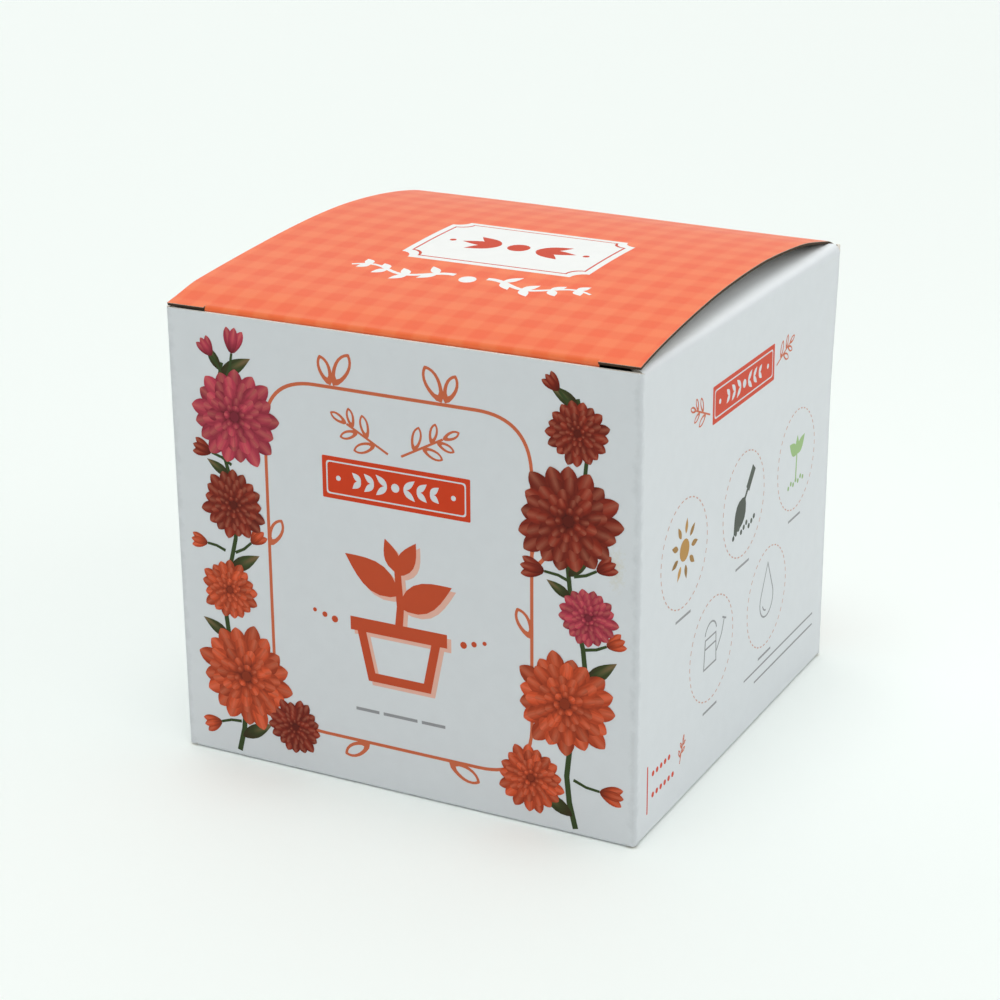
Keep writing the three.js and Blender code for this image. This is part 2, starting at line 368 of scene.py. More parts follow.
def walls_outline():
    side, large = bottom_flaps()
    tops = [
        notch(-DUST_BACK, -DUST_CREASE_FRONT, CORNER_RIM, SIDE_RIM),
        [(HALF - EDGE_SETBACK, FRONT_RIM_RIGHT), (EDGE_SETBACK - HALF, FRONT_RIM_LEFT)],
        notch(DUST_CREASE_FRONT, DUST_BACK, SIDE_RIM, CORNER_RIM),
        notch(-LID_STRIP_EDGE, LID_STRIP_EDGE, CORNER_RIM, CORNER_RIM),
    ]
    middles = [HALF + SIDE * wall for wall in range(4)]
    cut = [(m + s, v) for m, flap in zip(middles, (side, large) * 2) for s, v in flap]
    cut += [(RAW_EDGE, CORNER_FOOT), (RAW_EDGE, CORNER_RIM)]
    cut += [(m + s, v) for m, rim in reversed(list(zip(middles, tops))) for s, v in rim]

    arc_end = BOARD + SHEET_GAP + UPRIGHT_RADIUS - UPRIGHT_RADIUS * math.pi / 2
    tip = arc_end - GLUE_LENGTH
    slope = GLUE_LENGTH * math.tan(GLUE_TAPER)
    cut += [(GLUE_START, CORNER_RIM), (GLUE_START, GLUE_HIGH + GLUE_NECK), (arc_end, GLUE_HIGH)]
    cut += [(tip, GLUE_HIGH - slope), (tip, GLUE_LOW + slope)]
    cut += [(arc_end, GLUE_LOW), (GLUE_START, GLUE_LOW - GLUE_NECK), (GLUE_START, CORNER_FOOT)]
    return cut


def walls_lines():
    """Where the walls' blank is divided: finely in the creases, coarsely in the flat panels."""
    across = []
    for wall in range(4):
        start = wall * SIDE
        across += [start + UPRIGHT_RADIUS * k / 4 for k in range(5)]
        across += [start + SIDE - UPRIGHT_RADIUS * k / 4 for k in range(5)]
        across += list(start + np.linspace(UPRIGHT_RADIUS, SIDE - UPRIGHT_RADIUS, 27)[1:-1])
    turned = BOARD + SHEET_GAP + UPRIGHT_RADIUS
    across += [turned - UPRIGHT_RADIUS * math.pi / 2 * k / 6 for k in range(7)]
    up = [FOOT_RADIUS * k / 4 for k in range(5)] + [-SIDE_RISE * k / 4 for k in range(1, 5)]
    up += list(np.linspace(FOOT_RADIUS, SEAM, 25)[1:])
    return across, up


def lid_half(inset):
    """The right half of the lid's outline, from its strip on the back wall to the tuck flap."""
    front = lid_blank_place(EAR_FRONT)
    wide_end, narrow_start = LID_NECK
    half = [(LID_STRIP_EDGE, 0), (LID_STRIP_EDGE, LID_PANEL_START - wide_end)]
    half.append((LID_BACK_HALF_WIDTH, LID_PANEL_START - narrow_start))
    for distance, share in LID_INSET_PLACES:
        half.append((LID_HALF_WIDTH - share * inset, LID_PANEL_START + distance))
    return half + [(LID_HALF_WIDTH, front), (EAR_INNER, front), (EAR_INNER, LID_END)]


def lid_outline():
    return lid_half(LID_INSET_RIGHT) + [(-x, q) for x, q in reversed(lid_half(LID_INSET_LEFT))]


def lid_lines():
    across = list(np.linspace(-LID_HALF_WIDTH, LID_HALF_WIDTH, 15)) + [-EAR_INNER, EAR_INNER]
    along = [WALL_TOP - SEAM + ARC_NOMINAL * k / 8 for k in range(9)]
    along += list(np.linspace(LID_PANEL_START, FRONT_CREASE_START, 49)[1:])
    return across, along


def tuck_outline():
    shoulder = TUCK_START + TUCK_SHOULDER
    tip = TUCK_START + TUCK_LENGTH
    wide = TUCK_HALF_WIDTH
    left = [(-EAR_INNER, LID_END), (-EAR_INNER, shoulder), (-wide, shoulder)]
    left.append((-wide, tip, TUCK_CORNER))
    return rounded(left + [(-x, *rest) for x, *rest in reversed(left)])


def tuck_lines():
    across = list(np.linspace(-EAR_INNER, EAR_INNER, 13))
    along = [FRONT_CREASE_START + ARC_NOMINAL * k / 8 for k in range(-4, 9)]
    return across, along + [TUCK_START + 5, TUCK_START + 10]


def dust_outline():
    start = DUST_CREASE_Z - SEAM + DUST_ARC
    tip = start + HALF - DUST_RADIUS - DUST_TIP
    front = DUST_FRONT + (tip - start) * math.tan(DUST_FRONT_TAPER)
    back = DUST_BACK - (tip - start) * math.tan(DUST_BACK_TAPER)
    corners = [(DUST_CREASE_FRONT, 0), (DUST_BACK, 0), (DUST_BACK, start)]
    corners += [(back, tip, DUST_CORNER), (front, tip, DUST_CORNER)]
    neck_start, neck_end = DUST_NECK
    corners += [(DUST_FRONT, start + neck_end), (DUST_CREASE_FRONT, start + neck_start)]
    return rounded(corners)


def dust_lines():
    straight = DUST_CREASE_Z - SEAM
    along = [straight + DUST_ARC * k / 10 for k in range(11)]
    along += list(straight + DUST_ARC + np.linspace(0, DUST_BEND, 9)[1:])
    return list(np.linspace(DUST_CREASE_FRONT, DUST_BACK, 13)), along + [straight + DUST_MIDDLE]


# ---- meshes ----


def cut_plane(outlines, lines, holes=()):
    """Triangles inside the outlines, cut along the lines across and along. Returns the points, the
    triangles and the number of the last outline that each triangle lies in. Where that number is
    in holes, the plane is left open."""
    corners = np.vstack(outlines)
    middle = corners.mean(0)  # Vectors hold 7 digits, so the plane is cut about its middle
    low, high = corners.min(0) - middle, corners.max(0) - middle
    points, faces, edges = [], [], []
    for outline in outlines:
        ring = [Vector(np.array(p) - middle) for p in outline]
        numbers = range(len(points), len(points) + len(ring))
        faces.append(list(numbers) if signed_area(ring) > 0 else list(reversed(numbers)))
        points += ring
    for axis, places in enumerate(lines):
        for place in places:
            if low[axis] < place - middle[axis] < high[axis]:
                ends = [low.copy(), high.copy()]
                for end in ends:
                    end[axis] = place - middle[axis]
                edges.append((len(points), len(points) + 1))
                points += [Vector(end) for end in ends]
    found, _, triangles, _, _, sources = delaunay_2d_cdt(points, edges, faces, 0, 1e-5, True)
    kept = [(tri, max(src)) for tri, src in zip(triangles, sources) if src]
    kept = [(tri, top) for tri, top in kept if top not in holes]
    used = sorted({corner for tri, _ in kept for corner in tri})
    renumber = {old: new for new, old in enumerate(used)}
    triangles = [[renumber[c] for c in tri] for tri, _ in kept]
    blank = np.array([tuple(found[i]) for i in used]) + middle
    return blank, triangles, [top for _, top in kept]


def signed_area(ring):
    """Positive where the ring runs anticlockwise."""
    return sum(a.cross(b) for a, b in zip(ring, ring[1:] + ring[:1])) / 2


def facing_up(points, triangles):
    """The triangles with their corners turned anticlockwise."""
    turned = []
    for a, b, c in triangles:
        ab, ac = points[b] - points[a], points[c] - points[a]
        turned.append((a, b, c) if ab[0] * ac[1] > ab[1] * ac[0] else (a, c, b))
    return turned


def rim_edges(triangles):
    """The edges that belong to one triangle only, in that triangle's direction."""
    directed = {}
    for number, tri in enumerate(triangles):
        for i in range(3):
            directed[(tri[i], tri[(i + 1) % 3])] = number
    return [(edge, n) for edge, n in directed.items() if (edge[1], edge[0]) not in directed]


def surface_normals(blank, depth, fold, turned):
    step = 0.02
    sideways = fold(blank + (step, 0), depth) - fold(blank - (step, 0), depth)
    lengthways = fold(blank + (0, step), depth) - fold(blank - (0, step), depth)
    normal = np.cross(sideways, lengthways) * (-1 if turned else 1)
    return normal / np.maximum(np.linalg.norm(normal, axis=1, keepdims=True), 1e-12)


def layered_mesh(name, blank, triangles, fold, depths, turned):
    """A closed sheet: the triangles at depths[0], face up, the same at depths[1] below, and a rim
    between. turned says that the fold mirrors the blank. Returns the mesh, each face's triangle
    and each face's layer: 0 above, 1 below, 2 in the rim."""
    count = len(blank)
    ordered = facing_up(blank, triangles)
    rim = rim_edges(ordered)
    faces = list(ordered)
    faces += [(c + count, b + count, a + count) for a, b, c in ordered]
    faces += [(b, a, a + count, b + count) for (a, b), _ in rim]
    if turned:
        faces = [tuple(reversed(face)) for face in faces]
    mesh = bpy.data.meshes.new(name)
    places = np.vstack([fold(blank, depths[0]), fold(blank, depths[1])])
    mesh.from_pydata((places * MM).tolist(), [], faces)
    numbers = list(range(len(ordered)))
    owners = np.array(numbers + numbers + [number for _, number in rim])
    layers = np.repeat([0, 1, 2], [len(ordered), len(ordered), len(rim)])

    loops = np.zeros(len(mesh.loops), np.int32)
    mesh.loops.foreach_get("vertex_index", loops)
    add_uv(mesh, "blank", np.vstack([blank, blank])[loops])
    add_uv(mesh, "ply", np.column_stack([loops >= count, loops >= count]))

    upper = surface_normals(blank, depths[0], fold, turned)
    lower = -surface_normals(blank, depths[1], fold, turned)
    normals = np.vstack([upper, lower])[loops]
    normals[6 * len(ordered):] = 0
    mesh.polygons.foreach_set("use_smooth", [True] * len(mesh.polygons))
    sharp = mesh.attributes.new("sharp_edge", "BOOLEAN", "EDGE")
    rim_pairs = {frozenset(edge) for edge, _ in rim}
    rim_pairs |= {frozenset((a + count, b + count)) for (a, b), _ in rim}
    sharp.data.foreach_set("value", [frozenset(e.vertices) in rim_pairs for e in mesh.edges])
    mesh.normals_split_custom_set(normals.tolist())
    return mesh, owners, layers


def add_uv(mesh, name, values):
    flat = np.asarray(values, np.float32).ravel()
    mesh.uv_layers.new(name=name).data.foreach_set("uv", flat)


def add_object(name, data, materials=()):
    for material in materials:
        data.materials.append(material)
    item = bpy.data.objects.new(name, data)
    bpy.context.scene.collection.objects.link(item)
    return item


def board_piece(name, outline, lines, fold, materials, turned=False):
    """A piece of the folded board, with the printed face's, the inside's and the edge's material."""
    blank, triangles, _ = cut_plane([outline], lines)
    mesh, _, layers = layered_mesh(name, blank, triangles, fold, (0.0, BOARD), turned)
    mesh.polygons.foreach_set("material_index", layers.astype(np.int32))
    return add_object(name, mesh, materials)


# ---- materials ----


class Nodes:
    """Shader nodes that are added by name."""

    def __init__(self, tree):
        self.tree = tree

    def add(self, kind, inputs=None, **settings):
        """Adds a node and returns its outputs. An input is fed by an output or a value."""
        node = self.tree.nodes.new("ShaderNode" + kind)
        for key, value in settings.items():
            setattr(node, key, value)
        for key, value in (inputs or {}).items():
            self.feed(node.inputs[key], value)
        return node.outputs

    def feed(self, socket, value):
        if isinstance(value, bpy.types.NodeSocket):
            self.tree.links.new(value, socket)
        else:
            socket.default_value = value

    def apart(self, vector):
        return self.add("SeparateXYZ", {0: vector})

    def math(self, operation, a, b=0.0):
        return self.add("Math", {0: a, 1: b}, operation=operation)[0]

    def mix(self, factor, a, b):
        return self.add("Mix", {0: factor, 6: a, 7: b}, data_type="RGBA")[2]

    def spread(self, value, low, high, to_low, to_high, **settings):
        inputs = {0: value, 1: low, 2: high, 3: to_low, 4: to_high}
        return self.add("MapRange", inputs, **settings)[0]


class Shader(Nodes):
    """A node material. Its places are millimetres on the flat blank."""

    def __init__(self, name):
        self.material = bpy.data.materials.new(name)
        self.material.use_nodes = True
        super().__init__(self.material.node_tree)
        self.surface = self.tree.nodes["Principled BSDF"]

    def blank(self):
        return self.add("UVMap", uv_map="blank")[0]

    def noise(self, scale, detail=2.0, roughness=0.5, vector=None):
        place = vector if vector is not None else self.blank()
        inputs = {"Vector": place, "Scale": scale, "Detail": detail, "Roughness": roughness}
        return self.add("TexNoise", inputs, noise_dimensions="2D")[0]

    def finish(self, colour, roughness, height, strength, relief):
        """Feeds the surface, with a fine relief in millimetres, and returns the material."""
        bump = {"Strength": strength, "Distance": relief * MM, "Height": height}
        normal = self.add("Bump", bump)[0]
        for name, value in (("Base Color", colour), ("Roughness", roughness), ("Normal", normal)):
            self.feed(self.surface.inputs[name], value)
        return self.material


def linear(red, green, blue):
    """A display colour, 0 to 255, as the shader's linear one."""
    def one(value):
        share = value / 255
        return share / 12.92 if share <= 0.04045 else ((share + 0.055) / 1.055) ** 2.4
    return (one(red), one(green), one(blue), 1.0)


def scaled(colour, factor):
    return tuple(min(1.0, channel * factor) for channel in colour[:3]) + (1.0,)


def finish_coated(shader, colour):
    """The look of coated board under ink or bare: satin, with a very fine tooth."""
    tooth = shader.noise(5.0, 3.0)
    value = shader.spread(shader.noise(0.35), 0.3, 0.7, 0.992, 1.008)
    varied = shader.add("HueSaturation", {"Color": colour, "Value": value})[0]
    rough = shader.spread(tooth, 0.3, 0.7, 0.37, 0.47)
    return shader.finish(varied, rough, tooth, 0.35, 0.04)


WHITE_COAT = linear(219, 222, 226)
# painted shade along the walls' upright creases
CREASE_SHADE = linear(194, 197, 201)
# painted highlight on the dust flaps' creases
CREASE_HIGHLIGHT = linear(245, 248, 251)
SMUDGE = linear(206, 198, 170)
SMUDGE_CENTRE = (SIDE + HALF + 38.6, 47.5)
SMUDGE_SIZE = (1.4, 3.2)
BARE = linear(176, 168, 156)
LINER = linear(205, 196, 182)
LINER_SHARE = 0.12
FLECK = linear(132, 113, 92)
# The lid's and tuck's cut edges: partly the board's own brown core, partly darkened further as painted
# shade.
BROWN_CORE_AND_SHADE = linear(66, 47, 29)
# The walls' and dust flaps' cut edges: made near white as a painted highlight, so their rims read as a
# lit bright line.
PALE_CORE_AND_HIGHLIGHT = linear(252, 244, 234)
ORANGE = linear(248, 96, 38)
ORANGE_PALE = linear(252, 122, 67)
GINGHAM_PITCH = 5.85


def coated_flap():
    """The coat on a dust flap, with a painted highlight over its crease."""
    shader = Shader("coated_white")
    along = shader.apart(shader.blank())[1]
    # Painted highlight: the coat is made paler where the crease faces the light.
    starts = shader.spread(along, 1.2, 2.6, 0.0, 1.0)
    ends = shader.spread(along, 3.2, 4.8, 1.0, 0.0)
    stretch_or_painted_highlight = shader.math("MINIMUM", starts, ends)
    return finish_coated(shader, shader.mix(stretch_or_painted_highlight, WHITE_COAT, CREASE_HIGHLIGHT))


def coated_walls():
    """The same coat, darkened a little along the upright creases as painted shade, with a smudge on the
    front.
    """
    shader = Shader("coated_walls")
    blank = shader.blank()
    # Painted shade: the coat darkens towards each upright crease, with a ragged edge.
    from_crease = shader.math("PINGPONG", shader.apart(blank)[0], HALF)
    shade_edge_noise = shader.spread(shader.noise(0.5, 3.0, 0.6), 0.3, 0.7, -0.5, 0.5)
    reach = shader.math("ADD", from_crease, shade_edge_noise)
    crease = shader.mix(shader.spread(reach, 0.2, 1.3, 0.45, 0.0), WHITE_COAT, CREASE_SHADE)

    scale = (1 / SMUDGE_SIZE[0], 1 / SMUDGE_SIZE[1], 0.0)
    shift = [-centre * share for centre, share in zip((*SMUDGE_CENTRE, 0.0), scale)]
    place = shader.add("Mapping", {"Vector": blank, "Location": shift, "Scale": scale})[0]
    distance = shader.add("VectorMath", {0: place}, operation="LENGTH")["Value"]
    ragged = shader.spread(shader.noise(1.4, 4.0, 0.7), 0.3, 0.7, -0.5, 0.5)
    smudged = shader.spread(shader.math("ADD", distance, ragged), 0.2, 1.2, 0.4, 0.0)
    return finish_coated(shader, shader.mix(smudged, crease, SMUDGE))


def bare_board():
    """The uncoated inside: greyish, matte, with fine fibres and a few flecks."""
    shader = Shader("bare_board")
    stretch_or_painted_highlight = shader.add("Mapping", {"Vector": shader.blank(), "Scale": (1.0, 0.22, 1.0)})[0]
    fibres = shader.noise(6.0, 4.0, 0.6, stretch_or_painted_highlight)
    flecks = shader.spread(shader.noise(2.2, 3.0, 0.7), 0.62, 0.74, 0.0, 0.35)
    base = shader.mix(shader.spread(fibres, 0.35, 0.65, 0, 1), scaled(BARE, 0.93), BARE)
    return shader.finish(shader.mix(flecks, base, FLECK), 0.85, fibres, 0.5, 0.06)


def cut_edge(name, core_colour):
    """A cut through the board: a thin pale liner under the coating, then the core."""
    shader = Shader(name)
    fibres = shader.noise(9.0, 3.0, 0.6)
    depth = shader.apart(shader.add("UVMap", uv_map="ply")[0])[0]
    ragged = shader.math("ADD", depth, shader.spread(fibres, 0.3, 0.7, -0.08, 0.08))
    in_core = shader.spread(ragged, LINER_SHARE - 0.08, LINER_SHARE + 0.08, 0, 1)
    core = shader.mix(shader.spread(fibres, 0.3, 0.7, 0, 1), scaled(core_colour, 0.8), core_colour)
    return shader.finish(shader.mix(in_core, LINER, core), 0.9, fibres, 0.6, 0.08)


def gingham():
    """Orange check: two sets of stripes, darker where both cross."""
    shader = Shader("gingham")
    scale = (1 / GINGHAM_PITCH,) * 3
    checks = shader.apart(shader.add("Mapping", {"Vector": shader.blank(), "Scale": scale})[0])

    def stripes(coordinate):
        phase = shader.math("FRACT", coordinate)
        rise = shader.spread(phase, 0.0, 0.12, 0, 1)
        return shader.math("MINIMUM", rise, shader.spread(phase, 0.5, 0.62, 1, 0))

    both = shader.math("ADD", stripes(checks[0]), stripes(checks[1]))
    colour = shader.mix(shader.math("MULTIPLY", both, 0.5), ORANGE_PALE, ORANGE)
    return finish_coated(shader, colour)


# ---- printing ----

PRINT_STEP = 0.014  # thickness of a layer of print
PRINT_GAP = 0.003
WALLS = ("left", "front", "right", "back")

INK_BAND = linear(212, 64, 28)
INK_CRIMSON = linear(192, 62, 84)
INK_DARK_RED = linear(146, 44, 26)
INK_FLAME = linear(214, 82, 44)
INK_TITLE = linear(198, 78, 44)
INK_PEACH = linear(232, 180, 163)
INK_LINE = linear(205, 105, 70)
INK_DOTS = linear(204, 158, 142)
INK_GREY = linear(150, 150, 153)
INK_STEM = linear(56, 72, 36)
INK_LEAF = scaled(INK_STEM, 1.15)
SHINE = linear(255, 176, 140)
INK_GREEN = linear(158, 190, 128)
INK_GOLD = linear(186, 138, 66)
INK_BLACK = linear(78, 84, 75)
INK_WHITE = linear(247, 247, 245)
CUT_OUT = None


def printed_ink():
    """Ink in each shape's own colour, shaded along and across the petals and leaves."""
    shader = Shader("printed_ink")
    colour = shader.add("Attribute", attribute_name="ink")["Color"]
    petal = shader.apart(shader.add("UVMap", uv_map="petal")[0])
    tuning = shader.apart(shader.add("UVMap", uv_map="tuning")[0])
    along, across = petal[0], petal[1]
    shading, draw = tuning[0], tuning[1]

    scales = ((along, 1.6), (across, 3.2), (draw, 40.0))
    place = {n: shader.math("MULTIPLY", value, by) for n, (value, by) in enumerate(scales)}
    place = shader.add("CombineXYZ", place)[0]
    streaks = shader.add("TexNoise", {"Vector": place, "Scale": 1.0, "Detail": 3.0})[0]
    streak = shader.spread(streaks, 0.32, 0.68, 0.72, 1.12)
    base_dark = shader.spread(along, 0.0, 0.55, 0.2, 1.0)
    off_middle = shader.math("ABSOLUTE", across)
    edge_dark = shader.spread(off_middle, 0.35, 1.0, 1.0, 0.6)
    tone = shader.math("MULTIPLY", shader.math("MULTIPLY", base_dark, edge_dark), streak)
    shine_along = shader.spread(along, 0.35, 0.75, 0.0, 1.0)
    shine = shader.math("MULTIPLY", shine_along, shader.spread(off_middle, 0.0, 0.5, 0.16, 0.0))

    tone_share = shader.math("MULTIPLY", shading, shader.math("SUBTRACT", 1.0, tone))
    dark = shader.mix(tone_share, colour, scaled(INK_DARK_RED, 0.12))
    lit = shader.mix(shader.math("MULTIPLY", shading, shine), dark, SHINE)
    shader.surface.inputs["Specular IOR Level"].default_value = 0.14
    return finish_coated(shader, lit)


@dataclass
class Inked:
    """A shape on the blank. base, tip and half_width give a petal's own directions."""

    outline: list
    ink: tuple
    base: tuple
    tip: tuple
    half_width: float
    shading: float
    draw: float


class Artwork:
    """Shapes of ink on one panel, later ones over earlier ones, in millimetres from the origin:
    x to the right, y up, or to the back on the lid. The origin is a place on the panel, from its
    middle and from the base."""

    def __init__(self, name, panel, layer=1, seed=0):
        self.name = name
        self.panel = panel
        self.layer = layer
        self.origin = (0.0, 0.0)
        self.random = np.random.default_rng(seed)
        self.shapes = []

    def to_blank(self, point):
        x, y = self.origin[0] + point[0], self.origin[1] + point[1]
        if self.panel == "lid":
            return (x, lid_blank_place(y))
        return (WALLS.index(self.panel) * SIDE + HALF + x, y)

    def add(self, outline, ink, base=(0, 0), tip=(0, 1), half_width=1.0, shading=0.0):
        ring = [self.to_blank(point) for point in outline]
        ends = self.to_blank(base), self.to_blank(tip)
        self.shapes.append(Inked(ring, ink, *ends, half_width, shading, self.random.random()))

    def print(self, ink_material):
        """Lays the shapes on the folded board as one thin film."""
        on_lid = self.panel == "lid"
        fold = fold_lid if on_lid else fold_walls
        lines = lid_lines() if on_lid else walls_lines()
        holes = {number for number, shape in enumerate(self.shapes) if shape.ink is CUT_OUT}
        outlines = [shape.outline for shape in self.shapes]
        blank, triangles, tops = cut_plane(outlines, lines, holes)
        depths = (-PRINT_STEP * self.layer, -PRINT_STEP * (self.layer - 1) - PRINT_GAP)
        mesh, owners, _ = layered_mesh(self.name, blank, triangles, fold, depths, on_lid)
        self.colour(mesh, np.array(tops)[owners])
        piece = add_object(self.name, mesh, (ink_material,))
        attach(piece, "lid" if on_lid else "carton")

    def colour(self, mesh, shape_of_face):
        corners = np.zeros(len(mesh.polygons), np.int32)
        mesh.polygons.foreach_get("loop_total", corners)
        shape = np.repeat(shape_of_face, corners)
        place = np.zeros(2 * len(mesh.loops), np.float32)
        mesh.uv_layers["blank"].data.foreach_get("uv", place)

        def of_shape(values, kind=float):
            return np.array(values, kind)[shape]

        base = of_shape([s.base for s in self.shapes])
        axis = of_shape([s.tip for s in self.shapes]) - base
        length = np.linalg.norm(axis, axis=1)
        half_width = of_shape([s.half_width for s in self.shapes])
        offset = place.reshape(-1, 2) - base
        along = (offset * axis).sum(1) / length ** 2
        across = (offset[:, 0] * axis[:, 1] - offset[:, 1] * axis[:, 0]) / length / half_width
        add_uv(mesh, "petal", np.column_stack([along, across]))
        add_uv(mesh, "tuning", of_shape([(s.shading, s.draw) for s in self.shapes]))
        layer = mesh.color_attributes.new("ink", "FLOAT_COLOR", "CORNER")
        inks = of_shape([s.ink or WHITE_COAT for s in self.shapes], np.float32)
        layer.data.foreach_set("color", inks.ravel())


# ---- shapes of ink ----


def polar(centre, angle, radius):
    return (centre[0] + radius * math.cos(angle), centre[1] + radius * math.sin(angle))


def circle(centre, radius, count=20):
    return [polar(centre, 2 * math.pi * k / count, radius) for k in range(count)]


def arc(centre, radius, start, end, count):
    """Points along an arc, from one angle in degrees to another."""
    return [polar(centre, angle, radius) for angle in np.radians(np.linspace(start, end, count + 1))]


def plate(centre, width, height, corner, steps=5):
    """A box with rounded corners."""
    x, y = centre
    sides = ((-1, -1), (1, -1), (1, 1), (-1, 1))
    return rounded([(x + a * width / 2, y + b * height / 2, corner) for a, b in sides], steps)


def ribbon(path, start_width, end_width=None):
    """The outline of a line along a path, which may taper."""
    end_width = start_width if end_width is None else end_width
    points = [np.array(p, float) for p in path]
    last = len(points) - 1
    left, right = [], []
    for k, point in enumerate(points):
        into = point - points[k - 1] if k else points[1] - point
        out = points[k + 1] - point if k < last else into
        into, out = into / np.linalg.norm(into), out / np.linalg.norm(out)
        mitre = into + out
        mitre = mitre / max(mitre @ mitre, 0.5) * 2
        half = (start_width + (end_width - start_width) * k / last) / 2
        sideways = np.array([-mitre[1], mitre[0]]) * half
        left.append(tuple(point + sideways))
        right.append(tuple(point - sideways))
    return left + right[::-1]


PETAL_PLACES = (0.1, 0.25, 0.4, 0.55, 0.7, 0.83, 0.92, 0.98)


def blade(base, angle, length, width, leaf=False):
    """A petal's outline, broad towards its tip, or a leaf's, which is pointed."""
    direction = np.array([math.cos(angle), math.sin(angle)])
    sideways = np.array([-direction[1], direction[0]])
    left, right = [], []
    for t in PETAL_PLACES:
        if leaf:
            half = width / 2 * math.sin(math.pi * t ** 0.8)
        else:
            half = width / 2 * 1.56 * math.sqrt(t) * (1 - t ** 3) ** 0.8
        middle = np.array(base) + direction * length * t
        left.append(tuple(middle + sideways * half))
        right.append(tuple(middle - sideways * half))
    return [tuple(base)] + right + [tuple(base + direction * length)] + left[::-1]


def shaded_blade(art, base, angle, length, width, ink, leaf=False):
    outline = blade(base, angle, length, width, leaf)
    tip = polar(base, angle, length)
    art.add(outline, ink, base, tip, width / 2, shading=1.0)


def leaf_loop(art, base, angle, length, width, line, ink):
    """An outlined leaf with a round tip."""
    art.add(blade(base, angle, length, width), ink)
    inner = polar(base, angle, 2.4 * line)
    art.add(blade(inner, angle, length - 3.5 * line, width - 2 * line), CUT_OUT)


PETAL_ROWS = (  # petals in a row, their reach and their width as shares of the radius
    (17, 1.0, 0.36),
    (15, 0.8, 0.32),
    (13, 0.6, 0.27),
    (10, 0.42, 0.22),
    (7, 0.25, 0.17),
)


def blossom(art, centre, radius, ink):
    """A round head of many petals, row over row towards its middle."""
    for count, reach, width in PETAL_ROWS:
        length = radius * reach
        art.add(circle(centre, 0.72 * length), scaled(ink, 0.25))
        start = art.random.uniform(0, 2 * math.pi)
        for k in sorted(range(count), key=lambda number: number % 2):
            angle = start + 2 * math.pi * (k + art.random.uniform(-0.14, 0.14)) / count
            own = length * art.random.uniform(0.88, 1.06)
            tone = art.random.uniform(0.82, 1.12) * (1.0 if k % 2 else 0.8)
            base = polar(centre, angle, 0.36 * own)
            shaded_blade(art, base, angle, 0.64 * own, radius * width, scaled(ink, tone))
    art.add(circle(centre, 0.1 * radius, 10), scaled(ink, 0.4))


def bud(art, foot, degrees, size, ink):
    """A closed bud: three narrow petals on a bent stalk."""
    angle = math.radians(degrees)
    bend = polar(foot, angle, size * 0.7)
    neck = polar(bend, angle + 0.25, size * 0.7)
    art.add(ribbon([foot, bend, neck], 0.55, 0.45), INK_STEM)
    for turn in (-0.35, 0.35, 0.0):
        tone = scaled(ink, art.random.uniform(0.8, 1.1))
        shaded_blade(art, neck, angle + 0.25 + turn, size * 1.25, size * 0.5, tone)


def garland_stem(art, path, leaves):
    """A stem along the path with leaves (place along it, side, length)."""
    art.add(ribbon(path, 1.0, 0.6), INK_STEM)
    for share, side, length in leaves:
        k = share * (len(path) - 1)
        a, b = np.array(path[int(k)]), np.array(path[min(int(k) + 1, len(path) - 1)])
        base = a + (b - a) * (k - int(k))
        angle = math.atan2(*(b - a)[::-1]) - side * 0.8
        shaded_blade(art, tuple(base), angle, length, length * 0.36, INK_LEAF, leaf=True)


def wave(x, low, high, swing, turns, count=16):
    """An upright path that swings from side to side."""
    shares = np.linspace(0, 1, count + 1)
    return [(x + swing * math.sin(math.pi * turns * t), low + (high - low) * t) for t in shares]


def sprig(art, base, angle, length, line, ink):
    """A small twig with outlined leaves on both sides and one at its tip."""
    tip = polar(base, angle, length)
    art.add(ribbon([base, tip], line), ink)
    leaf_length = length * 0.5
    for share, side in ((0.3, 1), (0.5, -1), (0.72, 1), (0.85, -1)):
        place = polar(base, angle, length * share)
        own = leaf_length * (1.15 - 0.4 * share)
        leaf_loop(art, place, angle + side * 0.85, own, own * 0.42, line, ink)
    leaf_loop(art, tip, angle, leaf_length * 0.8, leaf_length * 0.34, line, ink)


def sprig_pair(art, centre, apart, degrees, length, line):
    """Two sprigs that lean away from each other."""
    for side in (-1, 1):
        base = (centre[0] + side * apart, centre[1])
        sprig(art, base, math.pi / 2 - side * math.radians(degrees), length, line, INK_LINE)


def rule(art, centre, length, width=0.45):
    x, y = centre
    art.add(ribbon([(x - length / 2, y), (x + length / 2, y)], width), INK_GREY)


def band(art, centre, width, height):
    """A filled label with a fine rule inside it, a chain of leaves and dots at its ends."""
    x, y = centre
    for inset, corner, ink in ((0, 0.25, INK_BAND), (1.5, 0.6, WHITE_COAT), (2.0, 0.6, INK_BAND)):
        art.add(plate(centre, width - inset, height - inset, corner), ink)
    leaf = height * 0.3
    for side in (-1, 1):
        for k in range(3):
            base = (x + side * (1.5 + 2.4 * k), y)
            for turn in (-0.7, 0.7):
                angle = (0 if side > 0 else math.pi) + turn
                shape = blade(base, angle, leaf * (1.25 - 0.14 * k), leaf * 0.5, True)
                art.add(shape, WHITE_COAT)
        art.add(circle((x + side * (width / 2 - 3.0), y), 0.45, 10), WHITE_COAT)
    art.add(circle(centre, 0.75, 14), WHITE_COAT)


# ---- the printed panels ----


